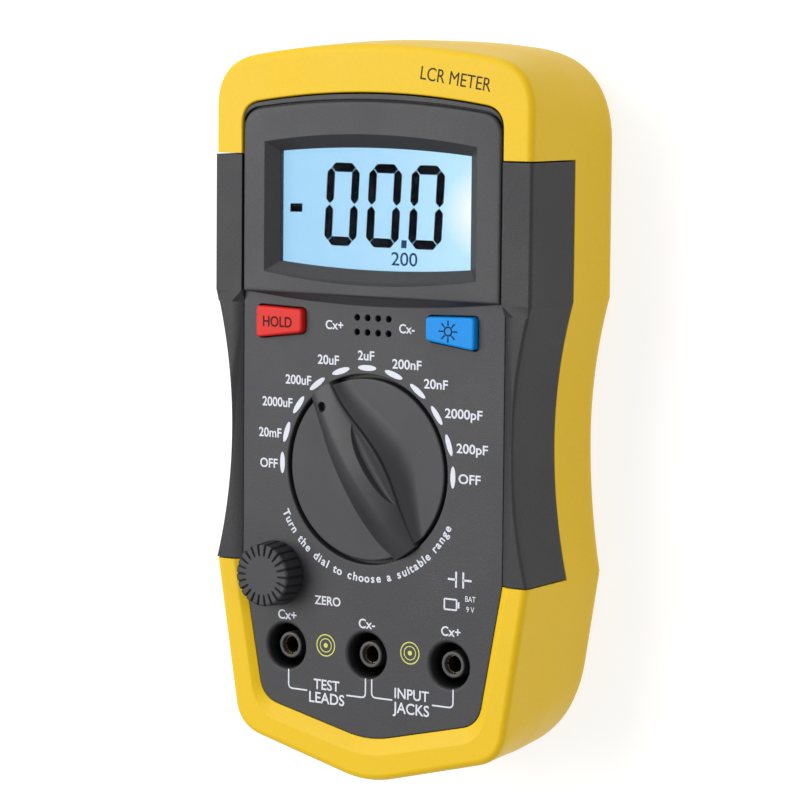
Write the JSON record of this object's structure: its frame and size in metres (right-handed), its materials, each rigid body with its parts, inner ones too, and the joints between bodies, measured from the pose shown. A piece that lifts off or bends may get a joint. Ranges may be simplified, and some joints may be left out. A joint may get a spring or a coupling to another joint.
{
  "type": "lcr meter",
  "caption": "Handheld capacitance meter with a display, a rotary range switch, push buttons, a zero control, input jacks, a component test socket and a tilting stand.",
  "frame": {"origin": "centre of the back, on the surface that the meter rests on", "axes": "+X to the meter's right seen from its face, +Y towards the display end, +Z out of the face"},
  "size_m": [0.09, 0.178, 0.0446],
  "materials": {
    "yellow_case": "satin moulded ABS",
    "grey_panel": "fine spark-eroded texture",
    "grey_grip": "soft-touch moulding",
    "clear_window": "polished clear acrylic",
    "lcd_cell": "polished glass cell with a lit background",
    "white_plastic": "plain moulding",
    "red_button": "satin moulding",
    "blue_button": "satin moulding",
    "black_plastic": "plain moulding",
    "black_rubber": "striped elastomer connector",
    "brass": "plated spring brass",
    "steel": "zinc plated",
    "board": "solder mask over glass laminate",
    "film_capacitor": "moulded box",
    "fuse_body": "glass tube with metal ends",
    "battery_can": "printed steel can",
    "wire_red": "soft insulation",
    "wire_black": "soft insulation"
  },
  "bodies": {
    "case": {"rear_case": "yellow_case", "battery_cover": "yellow_case", "front_case": "grey_panel", "left_grip": "grey_grip", "right_grip": "grey_grip", "lcd_window": "clear_window", "lcd_glass": "lcd_cell", "lcd_holder": "white_plastic", "backlight_panel": "white_plastic", "zero_pot_body": "black_plastic", "hold_switch_body": "black_plastic", "backlight_switch_body": "black_plastic", "jack_insulator_1": "black_plastic", "jack_insulator_2": "black_plastic", "jack_insulator_3": "black_plastic", "test_socket": "black_plastic", "main_chip": "black_plastic", "battery_snap": "black_plastic", "zebra_strip": "black_rubber", "jack_socket_1": "brass", "jack_socket_2": "brass", "jack_socket_3": "brass", "test_contact_plus": "brass", "test_contact_minus": "brass", "fuse_clip_1": "brass", "fuse_clip_2": "brass", "battery_cover_screw": "steel", "case_screw_1": "steel", "case_screw_2": "steel", "case_screw_3": "steel", "case_screw_4": "steel", "board_screw_1": "steel", "board_screw_2": "steel", "board_screw_3": "steel", "main_board": "board", "film_capacitor_1": "film_capacitor", "film_capacitor_2": "film_capacitor", "fuse": "fuse_body", "battery": "battery_can", "battery_wire_red": "wire_red", "battery_wire_black": "wire_black"},
    "range_switch": {"range_knob": "grey_panel", "switch_rotor": "white_plastic", "wiper_contact_1": "brass", "wiper_contact_2": "brass", "wiper_contact_3": "brass", "detent_spring_1": "steel", "detent_spring_2": "steel", "detent_ball_1": "steel", "detent_ball_2": "steel"},
    "zero_control": {"zero_knob": "grey_panel", "zero_shaft": "steel"},
    "hold_key": {"hold_button": "red_button", "hold_switch_plunger": "white_plastic"},
    "backlight_key": {"backlight_button": "blue_button", "backlight_switch_plunger": "white_plastic"},
    "stand": {"tilt_stand": "black_plastic"}
  },
  "joints": [
    {"name": "range_turn", "type": "hinge", "parent": "case", "child": "range_switch", "pos_m": [-0.0011, -0.0135, 0.0382], "axis": [0, 0, 1], "range_deg": [-126, 54]},
    {"name": "zero_turn", "type": "hinge", "parent": "case", "child": "zero_control", "pos_m": [-0.0272, -0.0407, 0.0382], "axis": [0, 0, 1], "range_deg": [-140, 140]},
    {"name": "hold_press", "type": "slide", "parent": "case", "child": "hold_key", "axis": [0, 0, -1], "range_m": [0, 0.0012], "stiffness_N_per_m": 1500},
    {"name": "backlight_press", "type": "slide", "parent": "case", "child": "backlight_key", "axis": [0, 0, -1], "range_m": [0, 0.0012], "stiffness_N_per_m": 1500},
    {"name": "stand_tilt", "type": "hinge", "parent": "case", "child": "stand", "pos_m": [0, 0.017, 0.0022], "axis": [1, 0, 0], "range_deg": [0, 70]}
  ]
}
